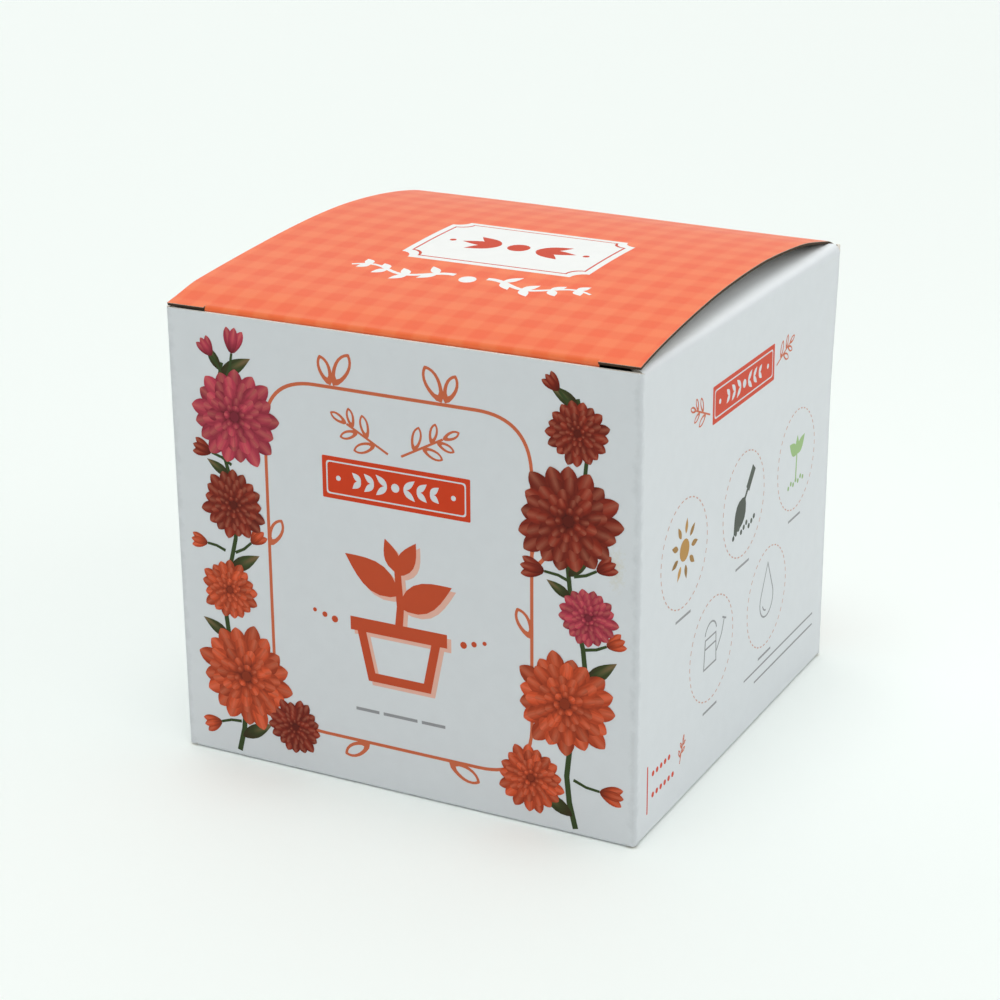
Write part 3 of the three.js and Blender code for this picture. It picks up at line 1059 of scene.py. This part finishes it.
FRAME_WIDTH = 49.0
FRAME_LOW = 8.0
FRAME_HIGH = 70.0
FRAME_LINE = 0.58
FRAME_EDGE = (FRAME_WIDTH - FRAME_LINE) / 2
FRAME_LEAVES = (  # place, direction in degrees and length
    ((-11.5, FRAME_HIGH), 112, 5.2), ((-11.0, FRAME_HIGH), 62, 6.4),
    ((8.6, FRAME_HIGH), 118, 6.4), ((9.2, FRAME_HIGH), 68, 5.2),
    ((FRAME_EDGE, 45.0), 66, 6.2), ((FRAME_EDGE, 33.0), 118, 5.6),
    ((-FRAME_EDGE, 40.5), 62, 5.6),
    ((9.0, FRAME_LOW), -24, 6.2), ((-6.0, FRAME_LOW), -150, 5.6),
)


def print_front_frame(ink):
    art = Artwork("print_frame", "front")
    for inset, tone in ((0, INK_LINE), (FRAME_LINE, CUT_OUT)):
        size = (FRAME_WIDTH - 2 * inset, FRAME_HIGH - FRAME_LOW - 2 * inset)
        art.add(plate((0, (FRAME_LOW + FRAME_HIGH) / 2), *size, 10.0 - inset, 16), tone)
    for place, degrees, length in FRAME_LEAVES:
        leaf_loop(art, place, math.radians(degrees), length, length * 0.46, 0.55, INK_LINE)
    art.print(ink)


def print_blossoms(name, panel, blossoms, first_seed, ink):
    for number, (centre, radius, tone) in enumerate(blossoms, 1):
        art = Artwork(f"{name}_{number}", panel, 3 + number % 2, seed=first_seed + number)
        blossom(art, centre, radius, tone)
        art.print(ink)


FRONT_BLOSSOMS = (  # place, radius and ink, from the back of each garland to its front
    ((-31.0, 46.5), 6.2, INK_DARK_RED), ((-30.0, 62.0), 8.6, INK_CRIMSON),
    ((-32.5, 31.0), 5.6, INK_FLAME), ((-30.0, 15.5), 9.4, INK_FLAME),
    ((-20.5, 8.0), 5.2, INK_DARK_RED), ((32.0, 68.5), 5.4, INK_DARK_RED),
    ((30.5, 54.0), 9.2, INK_DARK_RED), ((34.0, 38.5), 5.2, INK_CRIMSON),
    ((30.0, 23.0), 9.0, INK_FLAME), ((24.0, 8.6), 6.0, INK_FLAME),
)
FRONT_BUDS = (  # foot, direction in degrees, size and ink
    ((-31.5, 68.0), 66, 3.6, INK_CRIMSON), ((-32.0, 68.5), 112, 2.8, INK_CRIMSON),
    ((-31.0, 53.5), 150, 3.0, INK_DARK_RED), ((-31.0, 38.0), 28, 2.8, INK_FLAME),
    ((-33.0, 38.0), 160, 2.6, INK_FLAME), ((31.5, 45.0), 15, 3.0, INK_DARK_RED),
    ((31.0, 44.0), 160, 3.4, INK_DARK_RED), ((33.5, 33.0), 12, 2.8, INK_FLAME),
    ((31.0, 72.0), 120, 2.6, INK_DARK_RED), ((-31.4, 6.8), 185, 3.0, INK_FLAME),
    ((31.6, 9.9), -20, 3.4, INK_FLAME),
)


def print_front_garlands(ink):
    stems = Artwork("print_stems", "front", 2, seed=5)
    left = ((0.04, 1, 7), (0.3, -1, 6), (0.48, 1, 7), (0.72, -1, 5), (0.97, 1, 7), (0.98, -1, 5))
    right = ((0.03, -1, 7), (0.36, 1, 7), (0.55, -1, 5), (0.6, 1, 6), (0.98, -1, 6))
    garland_stem(stems, wave(-32, 1.2, 71.0, 1.6, 4), left)
    garland_stem(stems, wave(32, 1.2, 74.0, -1.6, 4), right)
    for foot, degrees, size, tone in FRONT_BUDS:
        bud(stems, foot, degrees, size, tone)
    stems.print(ink)
    print_blossoms("print_blossom", "front", FRONT_BLOSSOMS, 0, ink)


def seedling_shapes():
    """A seedling in a pot, drawn in bold lines."""
    shapes = [ribbon([(-7.0, 29.0), (-5.2, 20.5), (5.2, 20.5), (7.0, 29.0)], 1.6)]
    shapes.append(ribbon([(-9.0, 29.6), (9.0, 29.6)], 2.4))
    shapes.append(ribbon([(0, 29.0), (0.5, 34.0), (0.1, 40.5)], 1.5, 1.2))
    for height, length, degrees in ((34.0, 11.0, 28), (36.0, 11.5, 150), (39.5, 7.0, 62)):
        shapes.append(blade((0.3, height), math.radians(degrees), length, length * 0.46, True))
    shapes.append(blade((0.1, 40.0), math.radians(112), 6.0, 2.8, True))
    return shapes


def print_front_title(ink):
    art = Artwork("print_band", "front")
    band(art, (0, 54.5), 27.0, 7.2)
    sprig_pair(art, (0, 60.0), 1.2, 62, 8.5, 0.4)
    art.print(ink)

    title = Artwork("print_seedling", "front")
    for outline in seedling_shapes():
        title.add([(x + 0.75, y - 0.65) for x, y in outline], INK_PEACH)
    for outline in seedling_shapes():
        title.add(outline, INK_TITLE)
    for side in (-1, 1):
        for k in range(3):
            place = (side * (12.0 + 1.9 * k), 29.6 + 0.5 * k)
            title.add(circle(place, 0.62 - 0.12 * k, 10), INK_TITLE)
    title.print(ink)

    rules = Artwork("print_front_rules", "front")
    for x, length in ((-6.2, 4.4), (0, 6.4), (6.2, 4.4)):
        rule(rules, (x, 14.2), length, 0.55)
    rules.print(ink)


def dotted_ring(art, radius, count=38):
    for k in range(count):
        start = 360 * k / count
        art.add(ribbon(arc((0, 0), radius, start, start + 5.0, 1), 0.22), INK_DOTS)


def spots(art, start, pitch, rises, count, radius, ink, spread=0.0):
    """A row of small spots, whose rises repeat. spread varies their tone."""
    for k in range(count):
        place = (start[0] + pitch * k, start[1] + rises[k % len(rises)])
        tone = art.random.uniform(1 - spread, 1 + spread) if spread else 1.0
        art.add(circle(place, radius, 8), scaled(ink, tone))


def draw_sun(art):
    art.add(circle((0, 0), 1.9, 16), INK_GOLD)
    for k in range(9):
        angle = 2 * math.pi * k / 9
        tone = scaled(INK_GOLD, art.random.uniform(0.6, 1.15))
        art.add(blade(polar((0, 0), angle, 2.7), angle, 2.6, 1.1, True), tone)


def draw_trowel(art):
    art.add(ribbon([(1.5, 1.6), (4.3, 4.8)], 1.7), INK_BLACK)
    art.add(ribbon([(-0.3, -0.4), (1.8, 2.0)], 0.7), INK_BLACK)
    angle = math.atan2(-3.2, -2.8)
    art.add(blade((0.5, 0.6), angle, 7.4, 4.6, True), scaled(INK_BLACK, 0.85))
    spots(art, (-4.5, -5.3), 1.15, (0, 0.5, 1.0), 9, 0.5, INK_BLACK, 0.3)


def draw_sprout(art):
    art.add(ribbon([(0, -4.6), (0.2, 1.0)], 0.5), INK_GREEN)
    for degrees, length in ((35, 4.6), (145, 4.6), (88, 3.4)):
        shape = blade((0.2, 0.4), math.radians(degrees), length, length * 0.5, True)
        art.add(shape, INK_GREEN)
    spots(art, (-3.6, -5.0), 1.2, (0, 0.5), 7, 0.45, scaled(INK_GREEN, 0.9))


def draw_can(art):
    line = 0.32
    art.add([(-3.4, -3.6), (2.2, -3.6), (1.8, 2.0), (-3.0, 2.0)], INK_GREY)
    art.add([(-3.05, -3.25), (1.87, -3.25), (1.5, 1.68), (-2.68, 1.68)], CUT_OUT)
    spout, rose = [(2.1, -1.8), (4.2, 0.6), (5.2, 3.2)], [(4.3, 3.5), (6.0, 2.7)]
    handle, rim = arc((-0.6, 2.0), 2.5, 15, 165, 10), [(-2.9, 0.2), (1.75, 0.2)]
    for path in (spout, rose, handle, rim):
        art.add(ribbon(path, line), INK_GREY)


def draw_drop(art):
    for outer, ink in ((3.3, INK_GREY), (2.98, CUT_OUT)):
        art.add([(0, 1.85 * outer)] + arc((0, -1.2), outer, 152, 388, 16), ink)
    art.add(ribbon(arc((0, -1.2), 1.9, 200, 265, 6), 0.3), INK_GREY)


DRAWINGS = (draw_sun, draw_trowel, draw_sprout, draw_can, draw_drop)
DRAWING_RISE = 0.6  # a drawing's own origin lies this far above its ring's middle


def print_side(wall, title_height, ring_places, ink):
    """The band with its sprigs, and rings that each hold a small drawing."""
    title = Artwork(f"print_{wall}_band", wall)
    band(title, (-1.0, title_height), 27.0, 6.4)
    sprig_pair(title, (-1.0, title_height - 1.0), 14.6, 68, 6.2, 0.3)
    title.print(ink)
    for number, (place, drawing) in enumerate(zip(ring_places, DRAWINGS), 1):
        art = Artwork(f"print_{wall}_ring_{number}", wall, seed=20 + number)
        art.origin = place
        dotted_ring(art, 9.2)
        art.origin = (place[0], place[1] + DRAWING_RISE)
        drawing(art)
        art.origin = place
        rule(art, (0, -11.0), 6.0)
        art.print(ink)


def print_side_foot(wall, ink):
    art = Artwork(f"print_{wall}_foot", wall)
    art.add(ribbon([(-38.0, 4.0), (-38.0, 12.5)], 0.4), INK_BAND)
    for y, count in ((10.4, 5), (6.6, 6)):
        for k in range(count):
            art.add(circle((-35.8 + 1.6 * k, y), 0.5, 10), INK_BAND)
    sprig(art, (-25.0, 7.2), math.radians(70), 3.6, 0.25, INK_LINE)
    for y, length in ((10.4, 34.0), (8.2, 29.0)):
        rule(art, (37.0 - length / 2, y), length, 0.35)
    art.print(ink)


def clipped_plate(centre, width, height, corner):
    """A label whose corners are cut in as quarter circles."""
    x, y = centre
    outline = []
    for a, b, start in ((1, 1, 270), (-1, 1, 360), (-1, -1, 90), (1, -1, 180)):
        tip = (x + a * width / 2, y + b * height / 2)
        outline += arc(tip, corner, start, start - 90, 6)
    return outline


def print_lid_label(ink):
    art = Artwork("print_lid_label", "lid")
    art.origin = (0.6, 0.0)
    sizes = (35.0, 23.0, INK_WHITE), (32.6, 20.6, INK_BAND), (31.9, 19.9, INK_WHITE)
    for width, height, tone in sizes:
        art.add(clipped_plate((0, 0), width, height, 2.4), tone)
    for side in (-1, 1):
        for turn in (-1, 0, 1):
            angle = math.radians((0 if side > 0 else 180) + 34 * turn)
            art.add(blade((side * 3.4, 0), angle, 7.4 - abs(turn), 2.5, True), INK_BAND)
        art.add(circle((side * 12.6, 0), 0.6, 10), INK_BAND)
    art.add(circle((0, 0), 2.0, 18), INK_BAND)
    art.print(ink)


def print_lid_twig(ink):
    art = Artwork("print_lid_divider", "lid")
    art.origin = (0.6, -18.5)
    for side in (-1, 1):
        path = [(side * x, 1.4 * math.sin(x * 0.42)) for x in range(3, 23)]
        art.add(ribbon(path, 1.1, 0.5), INK_WHITE)
        for x in (6.0, 10.5, 15.0, 19.0):
            base = (side * x, 1.4 * math.sin(x * 0.42))
            for turn in (-1, 1):
                angle = (0 if side > 0 else math.pi) + turn * 0.9
                art.add(blade(base, angle, 4.4 - 0.09 * x, 1.7, True), INK_WHITE)
    art.add(circle((0, 0), 1.5, 16), INK_WHITE)
    art.print(ink)


BACK_BLOSSOMS = (
    ((-34.0, 14.0), 7.6, INK_FLAME), ((-22.0, 9.5), 6.4, INK_DARK_RED),
    ((-30.5, 27.0), 5.4, INK_CRIMSON), ((33.0, 13.0), 8.2, INK_FLAME),
    ((20.0, 9.0), 6.0, INK_CRIMSON), ((31.0, 27.5), 5.6, INK_DARK_RED),
)


def print_back(ink):
    stems = Artwork("print_back_stems", "back", 2, seed=8)
    leaves = ((0.2, 1, 6), (0.5, -1, 6), (0.8, 1, 5), (0.97, -1, 5))
    for side in (-1, 1):
        garland_stem(stems, wave(side * 33, 4.0, 40.0, -side * 1.4, 2), leaves)
    for side in (-1, 1):
        bud(stems, (side * 33.0, 39.0), 90 - side * 12, 3.6, INK_CRIMSON)
    stems.print(ink)
    print_blossoms("print_back_blossom", "back", BACK_BLOSSOMS, 50, ink)
    text = Artwork("print_back_rules", "back")
    band(text, (0, 66.0), 27.0, 6.4)
    for k in range(7):
        rule(text, (0, 56.0 - 3.4 * k), 46.0 - 7.0 * (k % 3))
    text.print(ink)


def print_artwork():
    ink = printed_ink()
    print_front_frame(ink)
    print_front_garlands(ink)
    print_front_title(ink)
    print_side("right", 66.0, ((-25, 44.5), (0, 44.5), (25, 44.5), (-12.5, 23.0), (12.5, 23.0)), ink)
    print_side_foot("right", ink)
    print_side("left", 66.0, ((-12.5, 45.5), (12.5, 45.5), (-25, 24.0), (0, 24.0), (25, 24.0)), ink)
    print_lid_label(ink)
    print_lid_twig(ink)
    print_back(ink)


# ---- stage, light and camera ----

CAMERA_PLACE = (180.6, -356.0, 187.6)
CAMERA_AZIMUTH = math.radians(27.315)
CAMERA_ELEVATION = math.radians(20.515)
CAMERA_ROLL = math.radians(-0.362)
CAMERA_LENS = 87.19
CAMERA_SENSOR = 36
FLOOR_REACH = 6000
FLOOR_WHITE = linear(250, 254, 251)


def add_camera():
    data = bpy.data.cameras.new("camera")
    data.lens = CAMERA_LENS
    data.sensor_width = CAMERA_SENSOR
    data.clip_start = 10 * MM
    camera = add_object("camera", data)
    level = math.cos(CAMERA_ELEVATION)
    x, y = math.sin(CAMERA_AZIMUTH) * level, -math.cos(CAMERA_AZIMUTH) * level
    back = Vector((x, y, math.sin(CAMERA_ELEVATION)))
    camera.location = Vector(CAMERA_PLACE) * MM
    camera.rotation_mode = "QUATERNION"
    turn = Quaternion(back, CAMERA_ROLL)
    camera.rotation_quaternion = turn @ (-back).to_track_quat("-Z", "Y")
    bpy.context.scene.camera = camera


def add_floor():
    reach = FLOOR_REACH * MM
    mesh = bpy.data.meshes.new("floor")
    corners = [(-reach, -reach, 0), (reach, -reach, 0), (reach, reach, 0), (-reach, reach, 0)]
    mesh.from_pydata(corners, [], [(0, 1, 2, 3)])
    shader = Shader("floor")
    shader.surface.inputs["Base Color"].default_value = FLOOR_WHITE
    shader.surface.inputs["Roughness"].default_value = 0.7
    add_object("floor", mesh, (shader.material,))


WORLD_TINT = (0.975, 1.0, 0.99)
HORIZON = 0.97  # as the camera sees it past the floor
LOBES = (  # direction, where its glow starts and is full (cosines), and its strength
    ((0, -0.1, 1), 0.9, 0.99, 2.879),
    ((0.1, -0.5, 0.85), 0.85, 0.99, 0.613),
    ((-0.9, -0.2, 0.4), 0.2, 0.95, 0.444),
    ((0.9, 0.1, 0.4), 0.2, 0.95, 0.589),
    ((-0.45, 0.85, 0.25), 0.2, 0.95, 0.745),
    ((0.6, -0.7, 0.4), 0.2, 0.95, 0.279),
)
LAMP_PLACE = (200, 20, 300)  # a soft lamp on the right
LAMP_AIM = (0, 0, 40)
LAMP_WIDTH = 140
LAMP_WATTS = 0.063


def add_world():
    """A white studio: a bright ceiling, paler glows on all sides and a plain horizon."""
    world = bpy.data.worlds.new("studio")
    world.use_nodes = True
    bpy.context.scene.world = world
    sky = Nodes(world.node_tree)
    direction = sky.add("TexCoord")["Generated"]
    total = 0.0
    for towards, edge, core, strength in LOBES:
        inputs = {0: direction, 1: Vector(towards).normalized()}
        toward = sky.add("VectorMath", inputs, operation="DOT_PRODUCT")["Value"]
        glow = sky.spread(toward, edge, core, 0.0, strength, interpolation_type="SMOOTHSTEP")
        total = sky.math("ADD", glow, total)
    seen = sky.add("LightPath")["Is Camera Ray"]
    background = sky.tree.nodes["Background"].inputs
    background["Color"].default_value = (*WORLD_TINT, 1)
    sky.feed(background["Strength"], sky.add("Mix", {0: seen, 2: total, 3: HORIZON})[0])


def add_lamp():
    data = bpy.data.lights.new("lamp_right", "AREA")
    data.shape = "DISK"
    data.size = LAMP_WIDTH * MM
    data.energy = LAMP_WATTS
    lamp = add_object("lamp_right", data)
    lamp.location = Vector(LAMP_PLACE) * MM
    aim = Vector(LAMP_AIM) - Vector(LAMP_PLACE)
    lamp.rotation_euler = aim.to_track_quat("-Z", "Y").to_euler()
    lamp.visible_camera = False


# ---- the carton ----


def build_board():
    bare = bare_board()
    # One board's cut edge in two copies: painted light on the white pieces, painted shade on the orange
    # ones.
    pale_lit_edge = cut_edge("cut_edge_pale_highlight", PALE_CORE_AND_HIGHLIGHT)
    wall_white = (coated_walls(), bare, pale_lit_edge)
    white = (coated_flap(), bare, pale_lit_edge)
    orange = (gingham(), bare, cut_edge("cut_edge_brown_and_shade", BROWN_CORE_AND_SHADE))

    walls = board_piece("carton_walls", walls_outline(), walls_lines(), fold_walls, wall_white)
    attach(walls, "carton")
    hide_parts("wall_front", "wall_right", "wall_back", "wall_left", "glue_flap",
                "bottom_flap_front", "bottom_flap_back", "bottom_flap_left", "bottom_flap_right")

    lid = board_piece("lid", lid_outline(), lid_lines(), fold_lid, orange, turned=True)
    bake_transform(lid)
    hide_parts("lid_panel")

    tuck = board_piece("tuck", tuck_outline(), tuck_lines(), fold_tuck, orange, turned=True)
    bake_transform(tuck)
    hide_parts("tuck_flap")

    for side, name in ((-1, "left"), (1, "right")):
        outline, lines, fold = dust_outline(), dust_lines(), fold_dust(side)
        piece = board_piece("dust_" + name, outline, lines, fold, white, side < 0)
        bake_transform(piece)
        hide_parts("dust_flap_" + name)


bpy.context.scene.view_settings.view_transform = "Standard"
add_camera()
add_floor()
add_world()
add_lamp()
build_board()
print_artwork()
